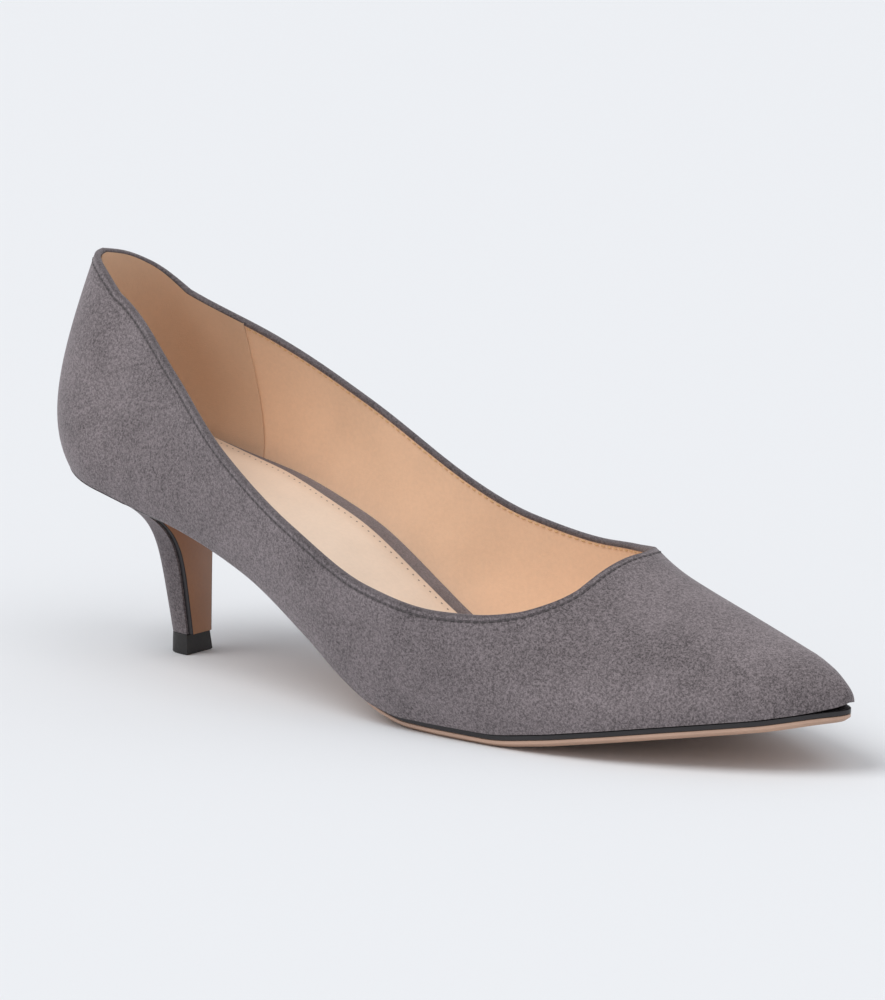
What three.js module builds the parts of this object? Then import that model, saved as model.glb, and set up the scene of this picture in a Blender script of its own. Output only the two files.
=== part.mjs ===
import * as THREE from 'three';
import { mergeVertices } from 'three/addons/utils/BufferGeometryUtils.js';

// Mid heel pump for the right foot, in millimetres.
// X runs from heel to toe, Y to the inner side of the foot, Z up from the floor.
// Until the shoe is centred at the end, X = 0 is the back of the last and Y = 0 its centre line.

// Last
const length = 275;
const ballWidth = 80;
const instep = 91;
const heelHeight = 54.5;
const toeSpring = 13.5;
const seatAxis = 32;
const noseLength = 10;
const noseLift = 0.25;
const ridgeShift = 7;

// Upper
const collarHeight = 112.6;
const throat = 201;
const wall = 1.8;
const toeWall = 4.5;
const collarCrown = 0.5;
const marginWidth = 9;
const marginThickness = 1.5;
const marginReach = 0.5;
const toeMargin = 16;

// Sole and heel
const gap = 0.3;
const soleThickness = 3.4;
const soleBevel = 1.6;
const soleEdgeShare = 0.78;
const soleToeInset = 0.8;
const breast = 43.5;
const tipCentre = 44;
const tipBack = 3.9;
const tipFront = 3.9;
const tipHalfWidth = 5;
const tipSquareness = 2.6;
const backFlare = { straight: 0.25, power: 6 };
const lateralFlare = { straight: 0.24, power: 6 };
const medialFlare = { straight: 0.12, power: 7 };
const topPieceHeight = 5.7;
const topPieceFlare = 0.5;
const breastCover = 1.2;
const breastCoverInset = 0.8;

// Inside
const insoleThickness = 2;
const heelPad = 3.6;
const insoleClearance = 0.35;
const insoleToeInset = 9;
const sockThickness = 0.9;
const sockToeInset = 14;

// Share of the walk along the shoe that goes round the heel, before the straight centre line.
const heelShare = 0.14;

// Mesh
const heelStations = 8;
const quarterStations = 17;
const quarterCrowding = 1.7;
const vampStations = 14;
const skinRows = 12;
const heelLevels = 14;
const topPieceRows = 10;
const weldDistance = 0.001;
const halvings = 40;

// Feather edge and ridge of the last. Widths are shares of the ball width, rise is a share of the
// instep, and ridge is a share of the ridge's shift to the inner side.
const outline = [
  { along: 0.00, lateral: 0.305, medial: 0.305, rise: 1.180, ridge: 0.00 },
  { along: 0.07, lateral: 0.303, medial: 0.307, rise: 1.170, ridge: 0.00 },
  { along: 0.14, lateral: 0.320, medial: 0.314, rise: 1.150, ridge: 0.00 },
  { along: 0.24, lateral: 0.360, medial: 0.306, rise: 1.150, ridge: 0.08 },
  { along: 0.34, lateral: 0.405, medial: 0.281, rise: 1.170, ridge: 0.25 },
  { along: 0.44, lateral: 0.442, medial: 0.281, rise: 1.150, ridge: 0.45 },
  { along: 0.54, lateral: 0.474, medial: 0.342, rise: 1.035, ridge: 0.70 },
  { along: 0.62, lateral: 0.486, medial: 0.418, rise: 0.810, ridge: 0.90 },
  { along: 0.70, lateral: 0.480, medial: 0.458, rise: 0.550, ridge: 1.00 },
  { along: 0.78, lateral: 0.443, medial: 0.437, rise: 0.387, ridge: 0.90 },
  { along: 0.86, lateral: 0.357, medial: 0.342, rise: 0.272, ridge: 0.62 },
  { along: 0.94, lateral: 0.225, medial: 0.197, rise: 0.168, ridge: 0.30 },
  { along: 1.00, lateral: 0.105, medial: 0.088, rise: 0.085, ridge: 0.10 },
];

// Roundness of the cross sections between feather edge and ridge. Bulge is a share of the ball
// width, belly and shoulder are shares of the rise, and full is a share of the half width.
const roundness = [
  { along: 0.00, bulge: 0.147, belly: 0.240, full: 0.86, shoulder: 0.500 },
  { along: 0.07, bulge: 0.132, belly: 0.185, full: 0.74, shoulder: 0.425 },
  { along: 0.14, bulge: 0.120, belly: 0.160, full: 0.64, shoulder: 0.390 },
  { along: 0.24, bulge: 0.135, belly: 0.175, full: 0.68, shoulder: 0.490 },
  { along: 0.34, bulge: 0.162, belly: 0.195, full: 0.93, shoulder: 0.675 },
  { along: 0.44, bulge: 0.176, belly: 0.255, full: 1.16, shoulder: 0.890 },
  { along: 0.54, bulge: 0.158, belly: 0.330, full: 1.17, shoulder: 0.990 },
  { along: 0.62, bulge: 0.122, belly: 0.370, full: 1.06, shoulder: 1.000 },
  { along: 0.70, bulge: 0.075, belly: 0.377, full: 0.73, shoulder: 1.000 },
  { along: 0.78, bulge: 0.038, belly: 0.380, full: 0.48, shoulder: 1.000 },
  { along: 0.86, bulge: 0.016, belly: 0.400, full: 0.48, shoulder: 1.000 },
  { along: 0.94, bulge: 0.004, belly: 0.415, full: 0.54, shoulder: 1.000 },
  { along: 1.00, bulge: 0.000, belly: 0.450, full: 0.60, shoulder: 1.000 },
];

// Underside of the last: at is a share of the length, arch of the heel's height over the tread,
// spring of the toe spring.
const profile = [
  { at: 0.00, arch: 1.030, spring: 0.00 },
  { at: 0.07, arch: 0.952, spring: 0.00 },
  { at: 0.16, arch: 0.850, spring: 0.00 },
  { at: 0.25, arch: 0.755, spring: 0.00 },
  { at: 0.34, arch: 0.600, spring: 0.00 },
  { at: 0.43, arch: 0.322, spring: 0.00 },
  { at: 0.48, arch: 0.140, spring: 0.00 },
  { at: 0.52, arch: 0.036, spring: 0.00 },
  { at: 0.56, arch: 0.000, spring: 0.00 },
  { at: 0.66, arch: 0.000, spring: 0.00 },
  { at: 0.72, arch: 0.000, spring: 0.14 },
  { at: 0.78, arch: 0.000, spring: 0.34 },
  { at: 0.86, arch: 0.000, spring: 0.60 },
  { at: 0.93, arch: 0.000, spring: 0.80 },
  { at: 1.00, arch: 0.000, spring: 1.00 },
];

// Topline height over the floor, as shares of the collar's height at the back.
const topline = [
  { along: 0.000, lateral: 1.000, medial: 1.000 },
  { along: 0.030, lateral: 0.998, medial: 0.990 },
  { along: 0.070, lateral: 0.985, medial: 0.963 },
  { along: 0.140, lateral: 0.922, medial: 0.893 },
  { along: 0.240, lateral: 0.760, medial: 0.799 },
  { along: 0.340, lateral: 0.598, medial: 0.668 },
  { along: 0.440, lateral: 0.460, medial: 0.525 },
  { along: 0.540, lateral: 0.350, medial: 0.414 },
  { along: 0.620, lateral: 0.315, medial: 0.377 },
  { along: 0.660, lateral: 0.314, medial: 0.383 },
  { along: 0.690, lateral: 0.322, medial: 0.396 },
  { along: 0.712, lateral: 0.341, medial: 0.410 },
  { along: 0.728, lateral: 0.369, medial: 0.422 },
];

// How far the outsole's edge stands in from the feather edge, and its share of full thickness.
const soleShape = [
  { along: 0.17, inset: 4.2, thickness: 0.90 },
  { along: 0.24, inset: 4.8, thickness: 0.80 },
  { along: 0.34, inset: 5.0, thickness: 0.75 },
  { along: 0.44, inset: 4.5, thickness: 0.80 },
  { along: 0.54, inset: 2.8, thickness: 0.95 },
  { along: 0.62, inset: 1.4, thickness: 1.00 },
  { along: 0.70, inset: 1.0, thickness: 1.00 },
  { along: 1.00, inset: 1.0, thickness: 1.00 },
];

// Half width of the sock lining as a share of the insole's on the same side, and the share of the
// heel pad's height under it.
const sockShape = [
  { along: 0.00, lateral: 0.93, medial: 0.93, pad: 1.00 },
  { along: 0.14, lateral: 0.92, medial: 0.90, pad: 1.00 },
  { along: 0.24, lateral: 0.92, medial: 0.80, pad: 1.00 },
  { along: 0.34, lateral: 0.92, medial: 0.68, pad: 0.90 },
  { along: 0.44, lateral: 0.92, medial: 0.66, pad: 0.65 },
  { along: 0.56, lateral: 0.93, medial: 0.76, pad: 0.22 },
  { along: 0.72, lateral: 0.95, medial: 0.90, pad: 0.00 },
  { along: 1.00, lateral: 0.96, medial: 0.96, pad: 0.00 },
];

// Sides of the foot along Y.
const lateral = { name: 'lateral', sign: -1, flare: lateralFlare };
const medial = { name: 'medial', sign: 1, flare: medialFlare };
const sides = [lateral, medial];

const clamp = THREE.MathUtils.clamp;
const mix = THREE.MathUtils.lerp;

// Smooth curve through one column of a table that never overshoots its rows.
function curveOf(table, place, column) {
  const at = table.map((row) => row[place]);
  const value = table.map((row) => row[column]);
  const step = at.slice(1).map((end, i) => end - at[i]);
  const slope = step.map((width, i) => (value[i + 1] - value[i]) / width);
  const tangent = value.map((_, i) => {
    if (i === 0) return slope[0];
    if (i === slope.length || slope[i - 1] * slope[i] <= 0) return 0;
    const before = 2 * step[i] + step[i - 1];
    const after = step[i] + 2 * step[i - 1];
    return (before + after) / (before / slope[i - 1] + after / slope[i]);
  });
  return (x) => {
    const place = clamp(x, at[0], at[at.length - 1]);
    const i = clamp(at.findIndex((end) => end >= place) - 1, 0, step.length - 1);
    const t = (place - at[i]) / step[i];
    const s = 1 - t;
    return value[i] * (1 + 2 * t) * s * s + value[i + 1] * t * t * (3 - 2 * t)
      + step[i] * t * s * (tangent[i] * s - tangent[i + 1] * t);
  };
}

function curvesOf(table, place) {
  const columns = Object.keys(table[0]).filter((name) => name !== place);
  return Object.fromEntries(columns.map((name) => [name, curveOf(table, place, name)]));
}

const outlineCurve = curvesOf(outline, 'along');
const roundnessCurve = curvesOf(roundness, 'along');
const profileCurve = curvesOf(profile, 'at');
const soleCurve = curvesOf(soleShape, 'along');
const sockCurve = curvesOf(sockShape, 'along');

const tread = soleThickness + gap;
const heelBottom = topPieceHeight + gap;
const insoleBottom = marginThickness + gap;

// Top of the insole over the feather edge, raised by the pad under the heel and arch.
function insoleTop(along) {
  return insoleBottom + insoleThickness + heelPad * sockCurve.pad(along);
}

// Height of the feather edge, where upper and sole meet.
function featherHeight(x) {
  const share = x / length;
  return tread + (heelHeight - tread) * profileCurve.arch(share) + toeSpring * profileCurve.spring(share);
}

// Narrowing of every section towards a rounded tip at the given X.
function closing(x, tip) {
  const share = clamp((x - tip + noseLength) / noseLength, 0, 1);
  return Math.sqrt(1 - share * share);
}

function alongAt(x) {
  return heelShare + (1 - heelShare) * (x - seatAxis) / (length - seatAxis);
}

// Where a station stands on the ridge line, and the direction that its section faces.
function stationAt(along) {
  const ridge = ridgeShift * outlineCurve.ridge(along);
  if (along >= heelShare) {
    const x = seatAxis + (length - seatAxis) * (along - heelShare) / (1 - heelShare);
    return { x, back: 0, out: 1, ridge };
  }
  const turn = along / heelShare * Math.PI / 2;
  return { x: seatAxis, back: Math.cos(turn), out: Math.sin(turn), ridge };
}

// The same station drawn back so that the last one lands on a shorter tip.
function drawnBack(along, tip) {
  const { x } = stationAt(along);
  if (x <= throat) return along;
  return alongAt(throat + (x - throat) * (tip - throat) / (length - throat));
}

// Distance of the feather edge from the ridge line.
function halfWidth(along, side) {
  return ballWidth * outlineCurve[side.name](along) - side.sign * stationAt(along).ridge;
}

// Place of a point by its distance from the ridge line and its height over the feather edge.
function placed(along, side, radius, height, feather) {
  const { x, back, out, ridge } = stationAt(along);
  const px = x - back * radius;
  return new THREE.Vector3(px, ridge + side.sign * out * radius, (feather ?? featherHeight(px)) + height);
}

// One half section, from the feather edge up to the ridge of the last.
function sectionAt(along, side) {
  const half = halfWidth(along, side);
  const rise = instep * outlineCurve.rise(along);
  const bulge = ballWidth * roundnessCurve.bulge(along);
  const { x, back } = stationAt(along);
  return {
    rise,
    feather: featherHeight(x - back * half * closing(x, length)),
    curve: new THREE.CubicBezierCurve(
      new THREE.Vector2(half, 0),
      new THREE.Vector2(half + bulge, roundnessCurve.belly(along) * rise),
      new THREE.Vector2(roundnessCurve.full(along) * half, roundnessCurve.shoulder(along) * rise),
      new THREE.Vector2(0, rise),
    ),
  };
}

// A point of the section's curve moved inwards by a depth square to it.
function offsetPoint(curve, up, depth) {
  const point = curve.getPoint(up);
  if (depth === 0) return point;
  const tangent = curve.getTangent(up);
  return new THREE.Vector2(Math.max(point.x - depth * tangent.y, 0), point.y + depth * tangent.x);
}

// How far up a section's curve a height is reached.
function upTo(height, section, depth) {
  let low = 0;
  let high = 1;
  for (let i = 0; i < halvings; i++) {
    const middle = (low + high) / 2;
    if (offsetPoint(section.curve, middle, depth).y < height) low = middle;
    else high = middle;
  }
  return (low + high) / 2;
}

// The collar meets the ridge at the throat, so the topline's last row comes from the sections.
const throatAlong = alongAt(throat);
const throatRow = { along: throatAlong };
const throatHeight = featherHeight(throat) + instep * outlineCurve.rise(throatAlong);
for (const side of sides) throatRow[side.name] = throatHeight / collarHeight;
const toplineCurve = curvesOf([...topline, throatRow], 'along');

function collarUp(along, side) {
  if (along >= throatAlong) return 1;
  const section = sectionAt(along, side);
  return upTo(collarHeight * toplineCurve[side.name](along) - section.feather, section, 0);
}

const outerSkin = { depth: 0, tip: length };
const innerSkin = { depth: wall, tip: length - toeWall };

function skinPoint(along, side, up, skin) {
  const station = drawnBack(along, skin.tip);
  const { rise, feather, curve } = sectionAt(station, side);
  const point = offsetPoint(curve, up, skin.depth);
  const close = closing(stationAt(station).x, skin.tip);
  const core = noseLift * rise;
  return placed(station, side, point.x * close, core + (point.y - core) * close, feather);
}

// A point of a flat outline set in from the feather edge, but never past marginReach of the half
// width, with its toe drawn back to a tip.
function outlinePoint(along, side, inset, tip, height) {
  const station = drawnBack(along, tip);
  const half = halfWidth(station, side);
  const radius = Math.max(half - inset, half * marginReach) * closing(stationAt(station).x, tip);
  return placed(station, side, radius, height);
}

// Half width of the room inside the wall at a height over the feather edge.
function innerHalfWidth(along, side, height) {
  const section = sectionAt(along, side);
  return offsetPoint(section.curve, upTo(height, section, wall), wall).x;
}

// Stations round the heel, along the quarters and over the vamp, closer together at the toe.
const breastAlong = alongAt(breast);
const stations = [];
for (let i = 0; i < heelStations; i++) stations.push(heelShare * i / heelStations);
stations.push(heelShare);
for (let i = 0; i < quarterStations; i++) {
  const share = 1 - (1 - i / quarterStations) ** quarterCrowding;
  stations.push(mix(breastAlong, throatAlong, share));
}
for (let i = 0; i <= vampStations; i++) {
  stations.push(mix(throatAlong, 1, Math.sin(i / vampStations * Math.PI / 2)));
}
const seatStations = stations.filter((along) => along <= breastAlong);
const soleStations = stations.filter((along) => along >= breastAlong);

// Collects triangles and closes them into one outward-facing mesh.
class Faces {
  constructor() {
    this.corners = [];
  }

  quad(a, b, c, d) {
    this.corners.push(a, b, c, a, c, d);
  }

  // Joins two rows of points of the same count.
  strip(rowA, rowB, closed = false) {
    const count = closed ? rowA.length : rowA.length - 1;
    for (let i = 0; i < count; i++) {
      const next = (i + 1) % rowA.length;
      this.quad(rowA[i], rowA[next], rowB[next], rowB[i]);
    }
  }

  // Joins each row of a list to the next one.
  strips(rows, closed = false) {
    for (let i = 1; i < rows.length; i++) this.strip(rows[i - 1], rows[i], closed);
  }

  geometry() {
    const raw = new THREE.BufferGeometry().setFromPoints(this.corners);
    const welded = mergeVertices(raw, weldDistance);
    const index = welded.getIndex().array;
    const kept = [];
    for (let i = 0; i < index.length; i += 3) {
      const [a, b, c] = index.slice(i, i + 3);
      if (a !== b && b !== c && c !== a) kept.push(a, b, c);
    }
    if (signedVolume(welded, kept) < 0) kept.reverse();
    welded.setIndex(kept);
    const faceted = welded.toNonIndexed();
    faceted.computeVertexNormals();
    return faceted;
  }
}

function signedVolume(geometry, index) {
  const position = geometry.getAttribute('position');
  const [a, b, c] = [new THREE.Vector3(), new THREE.Vector3(), new THREE.Vector3()];
  let volume = 0;
  for (let i = 0; i < index.length; i += 3) {
    a.fromBufferAttribute(position, index[i]);
    b.fromBufferAttribute(position, index[i + 1]);
    c.fromBufferAttribute(position, index[i + 2]);
    volume += a.dot(b.cross(c)) / 6;
  }
  return volume;
}

// A closed solid from outlines stacked bottom to top, each a lateral and a medial row.
function stackedSolid(outlines) {
  const faces = new Faces();
  const loops = outlines.map((outline) => [...outline.lateral].reverse().concat(outline.medial));
  faces.strips(loops, true);
  faces.strip(outlines[0].lateral, outlines[0].medial);
  faces.strip(outlines.at(-1).medial, outlines.at(-1).lateral);
  return faces.geometry();
}

function outlineOf(rows, pointOf) {
  return {
    lateral: rows.map((along) => pointOf(along, lateral)),
    medial: rows.map((along) => pointOf(along, medial)),
  };
}

// Hollow upper: outer skin, collar edge, inner skin and the lasting margin turned under the foot.
function upperGeometry() {
  const faces = new Faces();
  for (const side of sides) {
    const rows = [];
    const outerRow = (share) => stations.map((along) => (
      skinPoint(along, side, share * collarUp(along, side), outerSkin)
    ));
    const innerRow = (share) => stations.map((along) => {
      const start = upTo(marginThickness, sectionAt(drawnBack(along, innerSkin.tip), side), wall);
      return skinPoint(along, side, mix(start, collarUp(along, side), share), innerSkin);
    });
    const marginRow = (height) => stations.map((along) => (
      outlinePoint(along, side, marginWidth, length - toeMargin, height)
    ));
    rows.push(marginRow(marginThickness), marginRow(0));
    for (let i = 0; i <= skinRows; i++) rows.push(outerRow(i / skinRows));
    const inner = [];
    for (let i = 0; i <= skinRows; i++) inner.push(innerRow(i / skinRows));
    const ordered = side === medial ? rows : rows.map((row) => [...row].reverse());
    const orderedInner = side === medial ? inner : inner.map((row) => [...row].reverse());
    faces.strips(ordered);
    faces.strips([...orderedInner].reverse().concat([ordered[0]]));
    addCollar(faces, rows.at(-1), inner.at(-1), side);
  }
  return faces.geometry();
}

// Rounded edge between the top rows of both skins, from the back of the heel to the throat.
function addCollar(faces, outerTop, innerTop, side) {
  const count = stations.filter((along) => along <= throatAlong).length;
  const crown = [];
  for (let i = 0; i < count; i++) {
    const along = stations[i];
    const rising = sectionAt(along, side).curve.getTangent(collarUp(along, side)).y;
    const middle = outerTop[i].clone().lerp(innerTop[i], 0.5);
    middle.z += collarCrown * Math.max(rising, 0);
    crown.push(middle);
  }
  const rows = [outerTop.slice(0, count), crown, innerTop.slice(0, count)];
  faces.strips(side === medial ? rows : rows.map((row) => [...row].reverse()));
}

function outsoleGeometry() {
  const outline = (depthOf, extraInset) => outlineOf(soleStations, (along, side) => {
    const inset = soleCurve.inset(along) + extraInset;
    const start = along === breastAlong ? alongAt(breast + gap) : along;
    return outlinePoint(start, side, inset, length - soleToeInset - extraInset, -gap - depthOf(along));
  });
  return stackedSolid([
    outline((along) => soleThickness * soleCurve.thickness(along), soleBevel),
    outline((along) => soleEdgeShare * soleThickness * soleCurve.thickness(along), 0),
    outline(() => 0, 0),
  ]);
}

// Outline that fills a share of the room inside the upper, with its toe drawn back to a tip. The
// room is taken at one height of each station, and the outline lies at another.
function insideOutline(tip, roomHeight, height, shareOf) {
  return outlineOf(stations, (along, side) => {
    const station = drawnBack(along, tip);
    const room = innerHalfWidth(station, side, roomHeight(station)) - insoleClearance;
    const radius = room * shareOf(station, side) * closing(stationAt(station).x, tip);
    return placed(station, side, radius, height(station));
  });
}

function insoleGeometry() {
  const outline = (height) => insideOutline(length - insoleToeInset, height, height, () => 1);
  return stackedSolid([outline(() => insoleBottom), outline(insoleTop)]);
}

function sockGeometry() {
  const shareOf = (along, side) => sockCurve[side.name](along);
  const outline = (rise) => insideOutline(
    length - sockToeInset,
    insoleTop,
    (along) => insoleTop(along) + gap + rise,
    shareOf,
  );
  return stackedSolid([outline(0), outline(sockThickness)]);
}

// D shape of the heel's tip, round at the back, for a share from breast to back to breast.
function tipPoint(share, grow) {
  const power = 2 / tipSquareness;
  const turn = (share - 0.5) * Math.PI;
  const depth = Math.cos(turn) ** power;
  const width = Math.sign(turn) * Math.abs(Math.sin(turn)) ** power;
  return new THREE.Vector2(
    tipCentre + tipFront + grow - (tipFront + tipBack + grow) * depth,
    (tipHalfWidth + grow) * width,
  );
}

// Level of the heel, from tip 0 to seat 1, where its breast meets the underside of the outsole.
const breastHeight = featherHeight(breast) - gap;
const soleUnder = breastHeight - soleThickness * soleCurve.thickness(breastAlong) - gap;
const soleLevel = (soleUnder - heelBottom) / (breastHeight - heelBottom);

// Widening of the heel from tip to seat, part of it straight and the rest bending out at the top.
function flare({ straight, power }, level) {
  return straight * level + (1 - straight) * level ** power;
}

// Half ring of the heel at a level, from its back to its breast.
function heelRow(level, side) {
  const last = seatStations.length - 1;
  return seatStations.map((along, i) => {
    const seat = placed(along, side, halfWidth(along, side), -gap);
    const tip = tipPoint(0.5 + side.sign * i / last / 2, 0);
    const backness = Math.cos(i / last * Math.PI / 2);
    const back = flare(backFlare, level);
    const lengthwise = mix(flare(lateralFlare, Math.min(level / soleLevel, 1)), back, backness);
    const crosswise = mix(flare(side.flare, level), back, backness);
    return new THREE.Vector3(
      mix(tip.x, seat.x, lengthwise),
      mix(tip.y, seat.y, crosswise),
      mix(heelBottom, seat.z, level),
    );
  });
}

function heelGeometry() {
  const outlines = [];
  for (let i = 0; i <= heelLevels; i++) {
    const level = i / heelLevels;
    outlines.push({ lateral: heelRow(level, lateral), medial: heelRow(level, medial) });
  }
  return stackedSolid(outlines);
}

// Leather face on the heel's breast, under the end of the outsole.
function heelBreastGeometry() {
  const corner = (level, side) => heelRow(level, side).at(-1);
  const faces = new Faces();
  const rings = [];
  for (let i = 0; i <= heelLevels; i++) {
    const level = soleLevel * i / heelLevels;
    const [near, far] = [corner(level, lateral), corner(level, medial)];
    const inset = breastCoverInset / near.distanceTo(far);
    const [a, b] = [near.clone().lerp(far, inset), far.clone().lerp(near, inset)];
    const moved = (point, step) => point.clone().add(new THREE.Vector3(step, 0, 0));
    rings.push([moved(a, gap), moved(a, gap + breastCover), moved(b, gap + breastCover), moved(b, gap)]);
  }
  faces.strips(rings, true);
  faces.quad(rings[0][3], rings[0][2], rings[0][1], rings[0][0]);
  faces.quad(...rings.at(-1));
  return faces.geometry();
}

function topPieceGeometry() {
  const outline = (height, grow) => {
    const row = (side) => Array.from({ length: topPieceRows + 1 }, (_, i) => {
      const point = tipPoint(0.5 + side.sign * i / topPieceRows / 2, grow);
      return new THREE.Vector3(point.x, point.y, height);
    });
    return { lateral: row(lateral), medial: row(medial) };
  };
  return stackedSolid([outline(0, topPieceFlare), outline(topPieceHeight, 0)]);
}

function makePiece(name, geometry, color, roughness) {
  const mesh = new THREE.Mesh(geometry, new THREE.MeshStandardMaterial({ color, roughness, metalness: 0 }));
  mesh.name = name;
  return mesh;
}

const shoe = new THREE.Group();
shoe.add(
  makePiece('upper', upperGeometry(), 0x75696d, 0.95),
  makePiece('outsole', outsoleGeometry(), 0xb98d62, 0.55),
  makePiece('heel', heelGeometry(), 0x75696d, 0.95),
  makePiece('heel_breast', heelBreastGeometry(), 0x8f6549, 0.45),
  makePiece('top_piece', topPieceGeometry(), 0x1d1b1c, 0.6),
  makePiece('insole', insoleGeometry(), 0x7d7073, 0.95),
  makePiece('sock_lining', sockGeometry(), 0xdccbb2, 0.5),
);

// The origin is on the floor under the middle of the shoe's box.
const box = new THREE.Box3().setFromObject(shoe);
const middle = box.getCenter(new THREE.Vector3());
shoe.position.set(-middle.x, -middle.y, -box.min.z);

export default shoe;
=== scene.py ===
"""Mid heel pump for the right foot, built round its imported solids.

X runs to the toe, Y to the inner side of the foot and Z up. The surfaces are worked out in
millimetres in the last's own frame, and moved into the row frame, in metres, when a mesh is made.
"""
import math

import bpy
import numpy as np
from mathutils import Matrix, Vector


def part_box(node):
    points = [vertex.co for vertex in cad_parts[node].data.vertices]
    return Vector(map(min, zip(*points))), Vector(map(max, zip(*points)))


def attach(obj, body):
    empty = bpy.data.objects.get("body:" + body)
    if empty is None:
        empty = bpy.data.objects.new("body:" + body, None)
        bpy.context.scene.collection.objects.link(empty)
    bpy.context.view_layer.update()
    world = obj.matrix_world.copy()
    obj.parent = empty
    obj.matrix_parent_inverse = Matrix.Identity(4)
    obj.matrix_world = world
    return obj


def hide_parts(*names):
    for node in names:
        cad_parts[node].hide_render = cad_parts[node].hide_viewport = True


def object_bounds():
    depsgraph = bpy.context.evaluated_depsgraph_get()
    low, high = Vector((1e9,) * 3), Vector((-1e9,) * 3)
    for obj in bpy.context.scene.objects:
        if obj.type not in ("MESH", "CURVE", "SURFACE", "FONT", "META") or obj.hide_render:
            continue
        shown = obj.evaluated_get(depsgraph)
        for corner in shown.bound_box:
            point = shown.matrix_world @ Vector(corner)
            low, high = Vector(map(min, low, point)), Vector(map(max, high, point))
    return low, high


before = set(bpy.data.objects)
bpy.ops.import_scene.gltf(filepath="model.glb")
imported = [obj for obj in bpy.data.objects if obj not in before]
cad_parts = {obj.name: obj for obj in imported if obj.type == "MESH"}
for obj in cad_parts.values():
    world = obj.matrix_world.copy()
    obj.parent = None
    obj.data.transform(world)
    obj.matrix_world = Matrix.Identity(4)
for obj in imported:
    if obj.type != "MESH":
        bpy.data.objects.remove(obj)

bl_info = {
    "name": "Mid Heel Pump",
    "version": (1, 0, 0),
    "blender": (4, 5, 0),
    "location": "View3D > Sidebar > Pump",
    "description": "Builds a suede pump with a lined upper, a leather sole and a covered heel",
    "category": "Add Mesh",
}

CAD_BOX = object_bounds()
METRES = 0.001
SENSOR_WIDTH = 36

# Meshing, with lengths in millimetres unless said otherwise.
WELD_METRES = 0.000002
HALVINGS = 40
HEEL_STATIONS = 34
QUARTER_STATIONS = 110
QUARTER_CROWDING = 1.9
VAMP_STATIONS = 60
FAR_ROWS = 34
LINE_SAMPLES = 120
PANEL_COLUMNS = 8
HEEL_COLUMNS = 40
HEEL_LEVELS = 56
BREAST_LEVELS = 44
TIP_POINTS = 49
THREAD_SIDES = 6
HOLE_SIDES = 8
GRIP_STATIONS = 60
LOOP_SPACING = 0.4
DISTANCE_BATCH = 2000
FAR_FROM_EDGE = 99.0
NORMAL_ROUNDS = 3
NORMAL_STEP = 0.002

# Last, in millimetres.
LENGTH = 275
BALL_WIDTH = 80
INSTEP = 91
HEEL_HEIGHT = 54.5
TOE_SPRING = 13.5
SEAT_AXIS = 32
NOSE_LENGTH = 10
NOSE_LIFT = 0.25
RIDGE_SHIFT = 7
HEEL_SHARE = 0.14

# Upper
COLLAR_HEIGHT = 112.6
THROAT = 201
WALL = 1.8
TOE_WALL = 4.5
MARGIN_WIDTH = 9
MARGIN_THICKNESS = 1.5
MARGIN_TOE_INSET = 8
FORM_FADE = 8
FOLD_CROWN = 0.55
FOLD_TURNS = 8
RIM_DEPTH = 0.7
RIM_STEP = 0.2
RIM_TUCK = 0.25

# Sole and heel
GAP = 0.3
SOLE_THICKNESS = 3.4
SOLE_TOE_INSET = 0.8
BREAST = 43.5
TIP_CENTRE = 44
TIP_BACK = 3.9
TIP_FRONT = 3.9
TIP_HALF_WIDTH = 5
TIP_SQUARENESS = 2.6
BACK_FLARE = (0.25, 6)
FLARES = {"lateral": (0.24, 6), "medial": (0.12, 7)}
TOP_PIECE_HEIGHT = 5.7
TOP_PIECE_FLARE = 0.5
BREAST_COVER = 1.2
BREAST_COVER_INSET = 0.8
WAIST_END = 0.45
SEAT_FAN_SHARE = 8 / 9

# Inside
INSOLE_THICKNESS = 2
HEEL_PAD = 3.6
INSOLE_CLEARANCE = 0.35
INSOLE_TOE_INSET = 9
SOCK_THICKNESS = 0.9
SOCK_TOE_INSET = 14
GRIP_THICKNESS = 0.45
GRIP_LIFT = 0.02
HOLE_INSET = 2.2
HOLE_RADIUS = 0.28
HOLE_LIFT = 0.03

TREAD = SOLE_THICKNESS + GAP
HEEL_BOTTOM = TOP_PIECE_HEIGHT + GAP
INSOLE_BOTTOM = MARGIN_THICKNESS + GAP
SOCK_RISE = GAP + SOCK_THICKNESS

# Feather edge and ridge: widths are shares of the ball width, rise of the instep, and ridge of
# the ridge's shift to the inner side.
OUTLINE = (
    ("along", "lateral", "medial", "rise", "ridge"),
    (0.00, 0.305, 0.305, 1.180, 0.00),
    (0.07, 0.303, 0.307, 1.170, 0.00),
    (0.14, 0.320, 0.314, 1.150, 0.00),
    (0.24, 0.360, 0.306, 1.150, 0.08),
    (0.34, 0.405, 0.281, 1.170, 0.25),
    (0.44, 0.442, 0.281, 1.150, 0.45),
    (0.54, 0.474, 0.342, 1.035, 0.70),
    (0.62, 0.486, 0.418, 0.810, 0.90),
    (0.70, 0.480, 0.458, 0.550, 1.00),
    (0.78, 0.443, 0.437, 0.387, 0.90),
    (0.86, 0.357, 0.342, 0.272, 0.62),
    (0.94, 0.225, 0.197, 0.168, 0.30),
    (1.00, 0.105, 0.088, 0.085, 0.10),
)

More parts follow.
